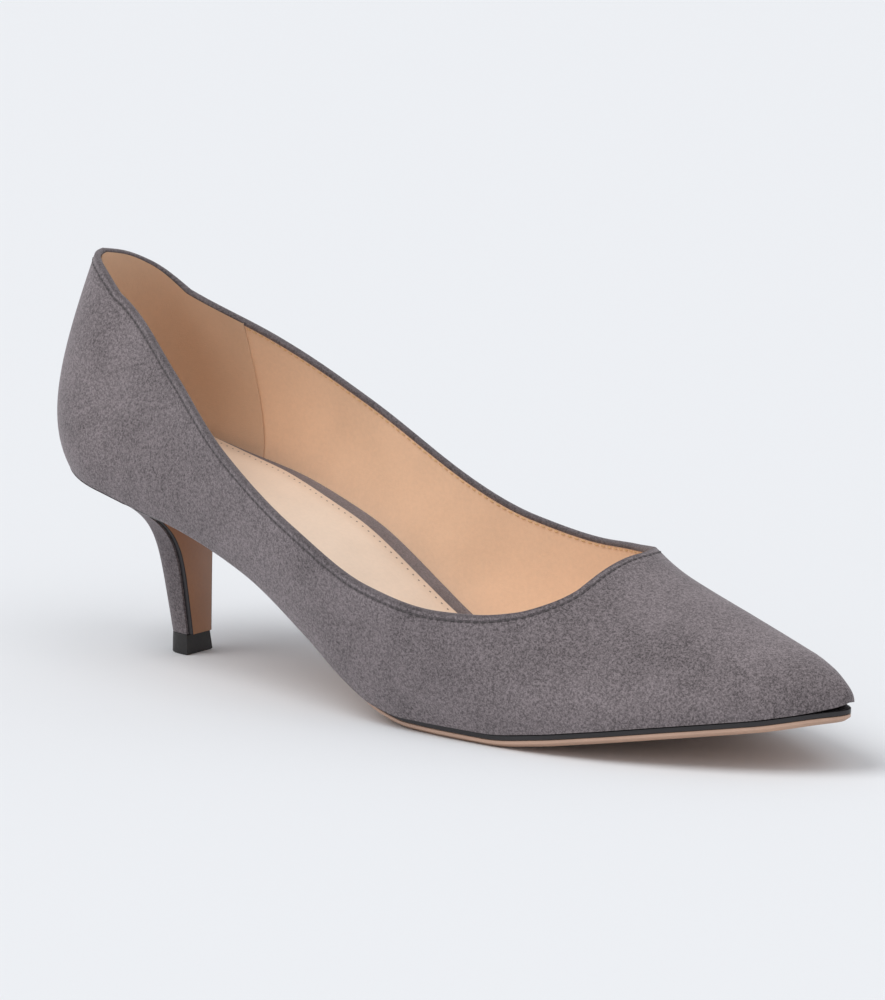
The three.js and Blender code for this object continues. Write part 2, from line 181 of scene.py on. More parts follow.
# Roundness of the cross sections between feather edge and ridge.
ROUNDNESS = (
    ("along", "bulge", "belly", "full", "shoulder"),
    (0.00, 0.147, 0.240, 0.86, 0.500),
    (0.07, 0.132, 0.185, 0.74, 0.425),
    (0.14, 0.120, 0.160, 0.64, 0.390),
    (0.24, 0.135, 0.175, 0.68, 0.490),
    (0.34, 0.162, 0.195, 0.93, 0.675),
    (0.44, 0.176, 0.255, 1.16, 0.890),
    (0.54, 0.158, 0.330, 1.17, 0.990),
    (0.62, 0.122, 0.370, 1.06, 1.000),
    (0.70, 0.075, 0.377, 0.73, 1.000),
    (0.78, 0.038, 0.380, 0.48, 1.000),
    (0.86, 0.016, 0.400, 0.48, 1.000),
    (0.94, 0.004, 0.415, 0.54, 1.000),
    (1.00, 0.000, 0.450, 0.60, 1.000),
)

# Underside of the last: at is a share of the length.
PROFILE = (
    ("at", "arch", "spring"),
    (0.00, 1.030, 0.00),
    (0.07, 0.952, 0.00),
    (0.16, 0.850, 0.00),
    (0.25, 0.755, 0.00),
    (0.34, 0.600, 0.00),
    (0.43, 0.322, 0.00),
    (0.48, 0.140, 0.00),
    (0.52, 0.036, 0.00),
    (0.56, 0.000, 0.00),
    (0.66, 0.000, 0.00),
    (0.72, 0.000, 0.14),
    (0.78, 0.000, 0.34),
    (0.86, 0.000, 0.60),
    (0.93, 0.000, 0.80),
    (1.00, 0.000, 1.00),
)

# Topline height over the floor, as shares of the collar's height at the back.
TOPLINE = (
    ("along", "lateral", "medial"),
    (0.000, 1.000, 1.000),
    (0.030, 0.998, 0.990),
    (0.070, 0.985, 0.963),
    (0.140, 0.922, 0.893),
    (0.240, 0.760, 0.799),
    (0.340, 0.598, 0.668),
    (0.440, 0.460, 0.525),
    (0.540, 0.350, 0.414),
    (0.620, 0.315, 0.377),
    (0.660, 0.314, 0.383),
    (0.690, 0.322, 0.396),
    (0.712, 0.341, 0.410),
    (0.728, 0.369, 0.422),
)

# How far the outsole's edge stands in from the feather edge, and its share of full thickness.
SOLE_SHAPE = (
    ("along", "inset", "thickness"),
    (0.17, 4.2, 0.90),
    (0.24, 4.8, 0.80),
    (0.34, 5.0, 0.75),
    (0.44, 4.5, 0.80),
    (0.54, 2.8, 0.95),
    (0.62, 1.4, 1.00),
    (0.70, 1.0, 1.00),
    (1.00, 1.0, 1.00),
)

# Half width of the sock lining as a share of the insole's on the same side, and the share of the
# heel pad's height under it.
SOCK_SHAPE = (
    ("along", "lateral", "medial", "pad"),
    (0.00, 0.93, 0.93, 1.00),
    (0.14, 0.92, 0.90, 1.00),
    (0.24, 0.92, 0.80, 1.00),
    (0.34, 0.92, 0.68, 0.90),
    (0.44, 0.92, 0.66, 0.65),
    (0.56, 0.93, 0.76, 0.22),
    (0.72, 0.95, 0.90, 0.00),
    (1.00, 0.96, 0.96, 0.00),
)

SIDES = {"lateral": -1, "medial": 1}


# Surfaces of the last.

def curve_of(table, column):
    """Smooth curve through one column of a table that never overshoots its rows."""
    names, rows = table[0], table[1:]
    at = np.array([row[0] for row in rows], float)
    value = np.array([row[names.index(column)] for row in rows], float)
    step = np.diff(at)
    slope = np.diff(value) / step
    tangent = np.zeros(len(at))
    tangent[0] = slope[0]
    for i in range(1, len(slope)):
        if slope[i - 1] * slope[i] > 0:
            before = 2 * step[i] + step[i - 1]
            after = step[i] + 2 * step[i - 1]
            tangent[i] = (before + after) / (before / slope[i - 1] + after / slope[i])

    def curve(x):
        place = np.clip(x, at[0], at[-1])
        i = np.clip(np.searchsorted(at, place) - 1, 0, len(step) - 1)
        t = (place - at[i]) / step[i]
        s = 1 - t
        return (value[i] * (1 + 2 * t) * s * s + value[i + 1] * t * t * (3 - 2 * t)
                + step[i] * t * s * (tangent[i] * s - tangent[i + 1] * t))
    return curve


def curves_of(table):
    return {name: curve_of(table, name) for name in table[0][1:]}


outline_curve = curves_of(OUTLINE)
roundness_curve = curves_of(ROUNDNESS)
profile_curve = curves_of(PROFILE)
sole_curve = curves_of(SOLE_SHAPE)
sock_curve = curves_of(SOCK_SHAPE)


def insole_bottom(along):
    return INSOLE_BOTTOM


def insole_top(along):
    """Top of the insole over the feather edge, raised by the pad under the heel and arch."""
    return INSOLE_BOTTOM + INSOLE_THICKNESS + HEEL_PAD * sock_curve["pad"](along)


def feather_height(x):
    """Height of the feather edge, where upper and sole meet."""
    share = x / LENGTH
    arch = (HEEL_HEIGHT - TREAD) * profile_curve["arch"](share)
    return TREAD + arch + TOE_SPRING * profile_curve["spring"](share)


def closing(x, tip):
    share = np.clip((x - tip + NOSE_LENGTH) / NOSE_LENGTH, 0, 1)
    return np.sqrt(1 - share * share)


def along_at(x):
    return HEEL_SHARE + (1 - HEEL_SHARE) * (x - SEAT_AXIS) / (LENGTH - SEAT_AXIS)


THROAT_ALONG = along_at(THROAT)
BREAST_ALONG = along_at(BREAST)


def station_at(along):
    """Where stations stand on the ridge line, and the direction that their sections face."""
    x = SEAT_AXIS + (LENGTH - SEAT_AXIS) * np.maximum(along - HEEL_SHARE, 0) / (1 - HEEL_SHARE)
    turn = np.clip(along / HEEL_SHARE, 0, 1) * math.pi / 2
    return x, np.cos(turn), np.sin(turn), RIDGE_SHIFT * outline_curve["ridge"](along)


def drawn_back(along, tip):
    x = station_at(along)[0]
    drawn = along_at(THROAT + (x - THROAT) * (tip - THROAT) / (LENGTH - THROAT))
    return np.where(x <= THROAT, along, drawn)


def half_width(along, side):
    return BALL_WIDTH * outline_curve[side](along) - SIDES[side] * station_at(along)[3]


def placed(along, side, radius, height, feather=None):
    """Points by their distance from the ridge line and height over the feather edge."""
    x, back, out, ridge = station_at(along)
    px = x - back * radius
    base = feather_height(px) if feather is None else feather
    return np.stack([px, ridge + SIDES[side] * out * radius, base + height], -1)


def section_at(along, side):
    """Control points of the half sections, shaped (4, stations, 2)."""
    half = half_width(along, side)
    rise = INSTEP * outline_curve["rise"](along)
    bulge = BALL_WIDTH * roundness_curve["bulge"](along)
    belly = roundness_curve["belly"](along) * rise
    full = roundness_curve["full"](along) * half
    shoulder = roundness_curve["shoulder"](along) * rise
    zero = np.zeros_like(half)
    return np.stack([
        np.stack([half, zero], -1),
        np.stack([half + bulge, belly], -1),
        np.stack([full, shoulder], -1),
        np.stack([zero, rise], -1),
    ])


def offset_point(section, up, depth):
    """Points of the sections moved inwards by a depth square to them."""
    t = up[..., None]
    s = 1 - t
    a, b, c, d = section
    point = a * s ** 3 + 3 * b * s * s * t + 3 * c * s * t * t + d * t ** 3
    if depth == 0:
        return point
    tangent = 3 * ((b - a) * s * s + 2 * (c - b) * s * t + (d - c) * t * t)
    tangent = tangent / np.linalg.norm(tangent, axis=-1, keepdims=True)
    x = np.maximum(point[..., 0] - depth * tangent[..., 1], 0)
    return np.stack([x, point[..., 1] + depth * tangent[..., 0]], -1)


def up_to(height, section, depth):
    """How far up the sections a height is reached."""
    low = np.zeros(section.shape[1])
    high = np.ones(section.shape[1])
    for _ in range(HALVINGS):
        middle = (low + high) / 2
        below = offset_point(section, middle, depth)[..., 1] < height
        low = np.where(below, middle, low)
        high = np.where(below, high, middle)
    return (low + high) / 2


THROAT_HEIGHT = float(feather_height(THROAT) + INSTEP * outline_curve["rise"](THROAT_ALONG))
THROAT_ROW = THROAT_HEIGHT / COLLAR_HEIGHT
topline_curve = curves_of(TOPLINE + ((THROAT_ALONG, THROAT_ROW, THROAT_ROW),))


def collar_up(along, side):
    section = section_at(along, side)
    x, back, _, _ = station_at(along)
    feather = feather_height(x - back * section[0, :, 0])
    height = COLLAR_HEIGHT * topline_curve[side](along) - feather
    return np.where(along >= THROAT_ALONG, 1.0, up_to(height, section, 0))


def skin_point(along, side, up, depth=0.0):
    """Points of the outer skin, or of the inner one at the wall's depth."""
    tip = LENGTH - TOE_WALL * min(depth / WALL, 1)
    station = drawn_back(along, tip)
    section = section_at(station, side)
    point = offset_point(section, up, depth)
    x, back, _, _ = station_at(station)
    feather = feather_height(x - back * section[0, :, 0] * closing(x, LENGTH))
    close = closing(x, tip)
    core = NOSE_LIFT * section[3, :, 1]
    height = core + (point[..., 1] - core) * close
    return placed(station, side, point[..., 0] * close, height, feather)


def outline_point(along, side, inset, tip, height):
    """Points of a flat outline set in from the feather edge, its toe drawn back to a tip."""
    station = drawn_back(along, tip)
    half = half_width(station, side)
    radius = np.maximum(half - inset, half / 2) * closing(station_at(station)[0], tip)
    return placed(station, side, radius, height)


def inside_point(along, side, tip, level, rise, share, inset=0.0):
    """Points of an outline that fills a share of the room inside the upper at a level."""
    station = drawn_back(along, tip)
    section = section_at(station, side)
    height = level(station) + 0 * station
    room = offset_point(section, up_to(height, section, WALL), WALL)[..., 0] - INSOLE_CLEARANCE
    close = closing(station_at(station)[0], tip)
    radius = np.maximum(room * share(station, side) * close - inset, 0)
    return placed(station, side, radius, height + rise)


# Meshes.

def row_shift():
    """From the last's frame to the row frame, in millimetres, by the heel's top piece."""
    low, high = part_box("top_piece")
    return np.array([
        low[0] / METRES - (TIP_CENTRE - TIP_BACK),
        (low[1] + high[1]) / 2 / METRES,
        0.0,
    ])


SHIFT = row_shift()


class Faces:
    """Collects rows of points, in millimetres, and makes one welded mesh of them."""

    def __init__(self):
        self.points = []
        self.faces = []
        self.slots = []
        self.edge = []

    def grid(self, rows, slot=0, flip=False, closed=False, edge=None):
        """Joins each row of points to the next, with one slot or one for each strip."""
        rows = [np.asarray(row, float) for row in rows]
        count = len(rows[0])
        start = len(self.points)
        for r, row in enumerate(rows):
            self.points.extend(row)
            self.edge.extend(edge[r] if edge is not None else [FAR_FROM_EDGE] * count)
        for r in range(len(rows) - 1):
            for i in range(count if closed else count - 1):
                j = (i + 1) % count
                a, b = start + r * count, start + (r + 1) * count
                quad = (a + i, a + j, b + j, b + i)
                self.faces.append(quad[::-1] if flip else quad)
                strip = slot[r] if isinstance(slot, (list, tuple)) else slot
                self.slots.append(strip[i] if isinstance(strip, (list, tuple)) else strip)

    def fan(self, loop, slot=0):
        start = len(self.points)
        self.points.extend(loop)
        self.edge.extend([FAR_FROM_EDGE] * len(loop))
        self.faces.append(tuple(range(start, start + len(loop))))
        self.slots.append(slot)

    def make(self, name, materials, nodes, smooth_angle):
        points = (np.array(self.points) + SHIFT) * METRES
        mesh = bpy.data.meshes.new(name)
        mesh.from_pydata([tuple(p) for p in points], [], self.faces)
        for material in materials:
            mesh.materials.append(material)
        mesh.polygons.foreach_set("material_index", self.slots)
        distance = mesh.attributes.new("edge_distance", "FLOAT", "POINT")
        distance.data.foreach_set("value", np.array(self.edge, dtype=np.float32))
        return finish_piece(name, mesh, nodes, smooth_angle)


def finish_piece(name, mesh, nodes, smooth_angle):
    """Welds and smooths a mesh, and puts it into the frame as a piece."""
    piece = bpy.data.objects.new(name, mesh)
    bpy.context.scene.collection.objects.link(piece)
    bpy.ops.object.select_all(action="DESELECT")
    bpy.context.view_layer.objects.active = piece
    piece.select_set(True)
    bpy.ops.object.mode_set(mode="EDIT")
    bpy.ops.mesh.select_all(action="SELECT")
    bpy.ops.mesh.remove_doubles(threshold=WELD_METRES)
    bpy.ops.mesh.normals_make_consistent(inside=False)
    bpy.ops.object.mode_set(mode="OBJECT")
    bpy.ops.object.shade_smooth_by_angle(angle=math.radians(smooth_angle))
    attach(piece, "root")
    if nodes:
        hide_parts(*nodes)
    return piece


# Stations and the folded edge.

def make_stations():
    heel = np.linspace(0, HEEL_SHARE, HEEL_STATIONS, endpoint=False)
    share = 1 - (1 - np.linspace(0, 1, QUARTER_STATIONS, endpoint=False)) ** QUARTER_CROWDING
    quarter = HEEL_SHARE + (THROAT_ALONG - HEEL_SHARE) * share
    turn = np.sin(np.linspace(0, math.pi / 2, VAMP_STATIONS))
    vamp = THROAT_ALONG + (1 - THROAT_ALONG) * turn
    return np.concatenate([heel, quarter, vamp])


STATIONS = make_stations()
OPEN = STATIONS[STATIONS <= THROAT_ALONG]

# Distances from the topline, in millimetres, of the rows next to it.
NEAR_ROWS = (0, 0.4, 0.8, 1.2, 1.5, 1.8, 2.1, 2.5, 3.2, 4.2, 5.5)
NEAR_LIMIT = 0.4


def rows_up(along, side, depth, bottom=0.0):
    """How far up each row stands at each station, from the topline or ridge down."""
    top = collar_up(along, side)
    section = section_at(drawn_back(along, LENGTH if depth == 0 else LENGTH - TOE_WALL), side)
    low = up_to(bottom, section, depth) if bottom else np.zeros_like(top)
    share = np.linspace(0, 1, LINE_SAMPLES)
    ups = top[None] + (low - top)[None] * share[:, None]
    line = np.stack([offset_point(section, up, depth) for up in ups])
    run = np.concatenate([
        np.zeros((1, len(along))),
        np.cumsum(np.linalg.norm(np.diff(line, axis=0), axis=-1), axis=0),
    ])
    rows = []
    total = run[-1]
    near_scale = np.minimum(1, NEAR_LIMIT * total / NEAR_ROWS[-1])
    targets = [near * near_scale for near in NEAR_ROWS]
    last = targets[-1]
    for i in range(1, FAR_ROWS + 1):
        targets.append(last + (total - last) * i / FAR_ROWS)
    for target in targets:
        rows.append(np.array([
            np.interp(target[k], run[:, k], ups[:, k]) for k in range(len(along))
        ]))
    return rows


def surface_normal(along, side, up, outwards):
    """Unit normals of the outer skin, on the side that a rough outward direction shows."""
    point = skin_point(along, side, up)
    ahead = skin_point(along + NORMAL_STEP, side, np.minimum(up, 1)) - point
    down = skin_point(along, side, up - NORMAL_STEP * 5) - point
    normal = np.cross(ahead, down)
    normal /= np.linalg.norm(normal, axis=1, keepdims=True)
    turned = np.sign((normal * outwards).sum(axis=1, keepdims=True))
    return normal * turned


def collar_loop():
    """The topline as a closed loop: outer and inner points, direction, normal and upward edge."""
    outer, inner, normal = [], [], []
    for side in SIDES:
        up = collar_up(OPEN, side)
        a, b = skin_point(OPEN, side, up), skin_point(OPEN, side, up, WALL)
        n = surface_normal(OPEN, side, up, a - b)
        if side == "medial":
            a, b, n = (values[::-1][1:-1] for values in (a, b, n))
        outer.append(a)
        inner.append(b)
        normal.append(n)
    outer, inner, normal = (np.concatenate(values) for values in (outer, inner, normal))
    for _ in range(NORMAL_ROUNDS):
        normal = np.roll(normal, 1, axis=0) + 2 * normal + np.roll(normal, -1, axis=0)
        normal /= np.linalg.norm(normal, axis=1, keepdims=True)
    run = np.roll(outer, -1, axis=0) - np.roll(outer, 1, axis=0)
    run /= np.linalg.norm(run, axis=1, keepdims=True)
    edge = -np.cross(run, normal)
    edge /= np.linalg.norm(edge, axis=1, keepdims=True)
    return outer, inner, run, normal, edge


def distance_to_loop(points, loop):
    """Distance of each point to a dense loop of points."""
    result = np.empty(len(points))
    for start in range(0, len(points), DISTANCE_BATCH):
        part = points[start:start + DISTANCE_BATCH]
        gaps = np.linalg.norm(part[:, None] - loop[None], axis=-1)
        result[start:start + DISTANCE_BATCH] = gaps.min(axis=1)
    return result


def loop_samples(values, outer, spacing):
    """Values that belong to a closed loop, taken a spacing apart."""
    closed = np.vstack([outer, outer[:1]])
    run = np.concatenate([[0], np.cumsum(np.linalg.norm(np.diff(closed, axis=0), axis=1))])
    places = np.linspace(0, run[-1], int(run[-1] / spacing) + 1)[:-1]
    result = []
    for value in values:
        closed = np.vstack([value, value[:1]])
        result.append(np.stack([np.interp(places, run, closed[:, k]) for k in range(3)], -1))
    return result


def dense_loop(loop, spacing):
    """The same closed loop with points a spacing apart."""
    return loop_samples((loop,), loop, spacing)[0]


# Soft creases of the suede: station, side and share up the section, then half length and half
# width, in millimetres, direction in degrees and height, with troughs below zero.
FORMS = (
    ("along", "side", "up", "length", "width", "turn", "height"),
    (0.70, "lateral", 0.30, 16, 5, 60, -0.25),
    (0.66, "lateral", 0.22, 14, 4, 50, 0.20),
    (0.40, "lateral", 0.14, 30, 4, 0, -0.20),
    (0.36, "medial", 0.16, 26, 4, 0, -0.20),
)


def swell(points, normals, side):
    """Moves points along their normals by the soft forms of one side."""
    moved = points.copy()
    for row in FORMS[1:]:
        along, where, up, length, width, turn, height = row
        if where != side:
            continue
        centre = skin_point(np.array([along]), side, np.array([up]))[0]
        angle = math.radians(turn)
        run = np.array([math.cos(angle), 0, math.sin(angle)])
        rise = np.array([-math.sin(angle), 0, math.cos(angle)])
        offset = points - centre
        a, b = offset @ run / length, offset @ rise / width
        moved += normals * (height * np.exp(-a * a - b * b))[..., None]
    return moved


def grid_normals(grid, sign):
    """Outward normals of a grid of points, rows by stations."""
    down = np.gradient(grid, axis=0)
    ahead = np.gradient(grid, axis=1)
    normal = np.cross(ahead, down) * sign
    size = np.linalg.norm(normal, axis=-1, keepdims=True)
    return normal / np.maximum(size, 1e-9)


# Node groups and materials.

def new_group(name, inputs, outputs):
    group = bpy.data.node_groups.new(name, "ShaderNodeTree")
    for socket, kind, default in inputs:
        made = group.interface.new_socket(name=socket, in_out="INPUT", socket_type=kind)
        made.default_value = default
    for socket, kind in outputs:
        group.interface.new_socket(name=socket, in_out="OUTPUT", socket_type=kind)
    return group, group.nodes.new("NodeGroupInput"), group.nodes.new("NodeGroupOutput")


SHADE_OUTPUTS = (
    ("Color", "NodeSocketColor"),
    ("Roughness", "NodeSocketFloat"),
    ("Height", "NodeSocketFloat"),
)


class Nodes:
    """Short hand for adding and joining the nodes of one tree."""

    def __init__(self, tree):
        self.tree = tree

    def join(self, source, target):
        self.tree.links.new(source, target)

    def noise(self, vector, scale, detail, roughness=0.5, distortion=0.0):
        node = self.tree.nodes.new("ShaderNodeTexNoise")
        node.inputs["Scale"].default_value = scale
        node.inputs["Detail"].default_value = detail
        node.inputs["Roughness"].default_value = roughness
        node.inputs["Distortion"].default_value = distortion
        self.join(vector, node.inputs["Vector"])
        return node.outputs["Fac"]

    def voronoi(self, vector, scale):
        node = self.tree.nodes.new("ShaderNodeTexVoronoi")
        node.feature = "DISTANCE_TO_EDGE"
        node.inputs["Scale"].default_value = scale
        self.join(vector, node.inputs["Vector"])
        return node.outputs["Distance"]

    def math(self, operation, a, b=None, clamp=False):
        node = self.tree.nodes.new("ShaderNodeMath")
        node.operation = operation
        node.use_clamp = clamp
        for socket, value in zip(node.inputs, (a, b)):
            if value is None:
                continue
            if isinstance(value, (int, float)):
                socket.default_value = value
            else:
                self.join(value, socket)
        return node.outputs[0]

    def between(self, value, low, high, to_low=0.0, to_high=1.0):
        node = self.tree.nodes.new("ShaderNodeMapRange")
        node.interpolation_type = "SMOOTHSTEP"
        for name, number in (("From Min", low), ("From Max", high),
                             ("To Min", to_low), ("To Max", to_high)):
            node.inputs[name].default_value = number
        self.join(value, node.inputs["Value"])
        return node.outputs["Result"]

    def mix(self, factor, a, b):
        node = self.tree.nodes.new("ShaderNodeMix")
        node.data_type = "RGBA"
        for socket, value in ((node.inputs[0], factor), (node.inputs[6], a), (node.inputs[7], b)):
            if isinstance(value, (int, float)):
                socket.default_value = value
            else:
                self.join(value, socket)
        return node.outputs[2]

    def coordinates(self):
        return self.tree.nodes.new("ShaderNodeTexCoord").outputs["Object"]

    def attribute(self, name):
        node = self.tree.nodes.new("ShaderNodeAttribute")
        node.attribute_name = name
        return node.outputs["Fac"]


def suede_group():
    """Nap of brushed suede: soft blotches, a fine fleck, and a stitch channel with painted shade
    in its groove, by a darker rim.
    """
    group, given, out = new_group("Suede nap", (
        ("Dark", "NodeSocketColor", (0.05, 0.04, 0.045, 1)),
        ("Light", "NodeSocketColor", (0.2, 0.16, 0.17, 1)),
        ("Fleck", "NodeSocketFloat", 0.5),
        ("Channel", "NodeSocketFloat", 1.0),
    ), SHADE_OUTPUTS)
    n = Nodes(group)
    place = n.coordinates()
    blotch = n.between(n.noise(place, 42, 3, 0.55, 0.4), 0.3, 0.7)
    brush = n.between(n.noise(place, 190, 4, 0.6, 0.8), 0.28, 0.72)
    nap = n.between(n.noise(place, 1300, 2, 0.6), 0.3, 0.7)
    fleck = n.between(n.noise(place, 2600, 2, 0.6), 0.32, 0.68)
    broad = n.math("ADD", n.math("MULTIPLY", blotch, 0.18), n.math("MULTIPLY", brush, 0.07))
    fine = n.math("ADD", n.math("MULTIPLY", nap, 0.6), n.math("MULTIPLY", fleck, 0.4))
    fine = n.math("MULTIPLY", fine, given.outputs["Fleck"])
    tone = n.math("ADD", broad, n.math("MULTIPLY", fine, 0.68), clamp=True)
    colour = n.mix(tone, given.outputs["Dark"], given.outputs["Light"])
    edge = n.attribute("edge_distance")
    # The channel is a groove in the bump and is also painted darker, as shade in the groove.
    channel = n.between(n.math("ABSOLUTE", n.math("SUBTRACT", edge, 1.6)), 0.15, 0.6, 1.0, 0.0)
    channel = n.math("MULTIPLY", channel, given.outputs["Channel"])
    rim = n.between(edge, 0.0, 0.7, 0.45, 0.0)
    rim = n.math("MULTIPLY", rim, given.outputs["Channel"])
    # Darkening of the painted shade in the channel and of the darker rim at the edge.
    shade = n.math("MAXIMUM", n.math("MULTIPLY", channel, 0.5), rim)
    n.join(n.mix(shade, colour, given.outputs["Dark"]), out.inputs["Color"])
    n.join(n.between(nap, 0, 1, 0.88, 1.0), out.inputs["Roughness"])
    height = n.math("ADD", n.math("MULTIPLY", nap, 0.6), n.math("MULTIPLY", fleck, 0.4))
    height = n.math("SUBTRACT", height, n.math("MULTIPLY", channel, 1.6))
    n.join(height, out.inputs["Height"])
    return group


def leather_group():
    """Smooth leather: slight clouding, a fine grain and pores."""
    group, given, out = new_group("Smooth leather", (
        ("Dark", "NodeSocketColor", (0.3, 0.2, 0.1, 1)),
        ("Light", "NodeSocketColor", (0.6, 0.4, 0.25, 1)),
        ("Roughness", "NodeSocketFloat", 0.45),
        ("Pores", "NodeSocketFloat", 0.5),
    ), SHADE_OUTPUTS)
    n = Nodes(group)
    place = n.coordinates()
    cloud = n.between(n.noise(place, 28, 4, 0.5, 0.3), 0.25, 0.75)
    grain = n.between(n.noise(place, 900, 4, 0.6), 0.25, 0.75)
    pores = n.between(n.voronoi(place, 1700), 0.0, 0.12)
    tone = n.math("ADD", n.math("MULTIPLY", cloud, 0.7), n.math("MULTIPLY", grain, 0.3))
    n.join(n.mix(tone, given.outputs["Dark"], given.outputs["Light"]), out.inputs["Color"])
    rough = n.math("ADD", given.outputs["Roughness"], n.math("MULTIPLY", grain, 0.12))
    n.join(rough, out.inputs["Roughness"])
    pored = n.math("MULTIPLY", pores, given.outputs["Pores"])
    height = n.math("ADD", n.math("MULTIPLY", grain, 0.5), pored)
    n.join(height, out.inputs["Height"])
    return group


def new_material(name):
    material = bpy.data.materials.new(name)
    material.use_nodes = True
    tree = material.node_tree
    shader = next(node for node in tree.nodes if node.type == "BSDF_PRINCIPLED")
    return material, tree, shader


def group_material(name, group, values, bump, distance, **settings):
    """A material whose colour, roughness and bump come from a node group."""
    material, tree, shader = new_material(name)
    node = tree.nodes.new("ShaderNodeGroup")
    node.node_tree = bpy.data.node_groups[group]
    for socket, value in values.items():
        node.inputs[socket].default_value = (*value, 1) if isinstance(value, tuple) else value
    tree.links.new(node.outputs["Color"], shader.inputs["Base Color"])
    tree.links.new(node.outputs["Roughness"], shader.inputs["Roughness"])
    raised = tree.nodes.new("ShaderNodeBump")
    raised.inputs["Strength"].default_value = bump
    raised.inputs["Distance"].default_value = distance
    tree.links.new(node.outputs["Height"], raised.inputs["Height"])
    tree.links.new(raised.outputs["Normal"], shader.inputs["Normal"])
    for socket, value in settings.items():
        shader.inputs[socket.replace("_", " ")].default_value = value
    return material


def plain_material(name, colour, roughness):
    material, _, shader = new_material(name)
    shader.inputs["Base Color"].default_value = (*colour, 1)
    shader.inputs["Roughness"].default_value = roughness
    return material


def shaded(colour, share):
    """A darker or lighter tone of a colour."""
    return tuple(channel * share for channel in colour)


# Materials of suede: shares of its colour for the dark and the light tone, strength of the fleck
# and of the stitch channel with its painted shade and darker rim, and strength and depth, in
# metres, of the bump.
SUEDES = (
    ("name", "dark", "light", "fleck", "channel", "bump", "depth"),
    ("Grey suede", 0.34, 1.9, 1.0, 1.0, 0.55, 0.00022),
    ("Heel suede", 0.34, 1.6, 1.0, 0.0, 0.50, 0.00020),
    ("Insole suede", 0.45, 1.5, 0.8, 0.0, 0.40, 0.00018),
)

# Materials of leather, by the colour they take: shares of it for the dark and the light tone, then
# roughness, pores, and strength and depth, in metres, of the bump, and specular and coat.
LEATHERS = (
    ("name", "colour", "dark", "light", "rough", "pores", "bump", "depth", "specular", "coat"),
    ("Lining leather", "lining", 0.92, 1.12, 0.32, 0.3, 0.25, 0.00010, 0.45, 0.0),
    ("Heel grip leather", "lining", 0.78, 0.90, 0.55, 0.6, 0.40, 0.00012, 0.50, 0.0),
    ("Sock leather", "sock", 0.90, 1.06, 0.38, 0.4, 0.25, 0.00010, 0.45, 0.0),
    ("Sole edge", "sole", 0.85, 1.15, 0.30, 0.0, 0.20, 0.00010, 0.50, 0.3),
    # The bevel and tread take the sole's tan painted darker than the edge, as shade under the
    # shoe.
    ("Sole leather", "sole", 0.75, 1.05, 0.42, 0.2, 0.20, 0.00010, 0.50, 0.0),
    # The breast's tan is painted darker than the sole edge's, as shade on the breast that faces
    # forward and down.
    ("Breast leather", "breast", 0.85, 1.15, 0.35, 0.0, 0.20, 0.00010, 0.50, 0.0),
)


def smooth_material(name, dark, light, rough, pores, bump, depth, **settings):
    values = {"Dark": dark, "Light": light, "Roughness": rough, "Pores": pores}
    return group_material(name, "Smooth leather", values, bump, depth, **settings)


def make_materials():
    colours = bpy.context.scene.pump_colours
    suede = tuple(colours.suede)
    suede_group()
    leather_group()
    for name, dark, light, fleck, channel, bump, depth in SUEDES[1:]:
        group_material(
            name, "Suede nap",
            {"Dark": shaded(suede, dark), "Light": shaded(suede, light),
             "Fleck": fleck, "Channel": channel},
            bump, depth, Sheen_Weight=0.35, Sheen_Roughness=0.45,
            Sheen_Tint=(0.86, 0.8, 0.83, 1), Specular_IOR_Level=0.15)
    for name, colour, dark, light, rough, pores, bump, depth, specular, coat in LEATHERS[1:]:
        base = tuple(getattr(colours, colour))
        smooth_material(name, shaded(base, dark), shaded(base, light), rough, pores, bump, depth,
                        Specular_IOR_Level=specular, Coat_Weight=coat)
    smooth_material("Dark edge paint", (0.012, 0.010, 0.011), (0.03, 0.026, 0.028),
                    0.35, 0.0, 0.2, 0.0001)
    smooth_material("Top piece rubber", (0.010, 0.009, 0.009), (0.02, 0.018, 0.018),
                    0.45, 0.0, 0.3, 0.0001)
    plain_material("Grey thread", shaded(suede, 0.4), 0.7)
    plain_material("Gold thread", tuple(colours.thread), 0.5)
    # Pinholes are flat discs in a dark tone of the sock, painted shade standing in for the holes.
    plain_material("Pinhole", shaded(tuple(colours.sock), 0.25), 0.8)


def material(name):
    return bpy.data.materials[name]


# Properties.

class PumpSizes(bpy.types.PropertyGroup):
    stitch_pitch: bpy.props.FloatProperty(
        name="Stitch Pitch", description="Distance from stitch to stitch, in millimetres",
        default=2.1, min=1.0, max=6.0)
    stitch_length: bpy.props.FloatProperty(
        name="Stitch Length", description="Visible length of one stitch, in millimetres",
        default=1.45, min=0.5, max=5.0)
    thread_width: bpy.props.FloatProperty(
        name="Thread Width", description="Thickness of the thread, in millimetres",
        default=0.42, min=0.1, max=1.5)
    stitch_inset: bpy.props.FloatProperty(
        name="Stitch Inset",
        description="Distance of the stitches from the topline, in millimetres",
        default=1.6, min=0.5, max=6.0)
    pinhole_pitch: bpy.props.FloatProperty(
        name="Pinhole Pitch", description="Distance between pinholes of the sock, in millimetres",
        default=2.4, min=1.0, max=8.0)
    grip_front: bpy.props.FloatProperty(
        name="Heel Grip Front", description="Place of the heel grip's front seam, in millimetres",
        default=51.0, min=45.0, max=120.0)


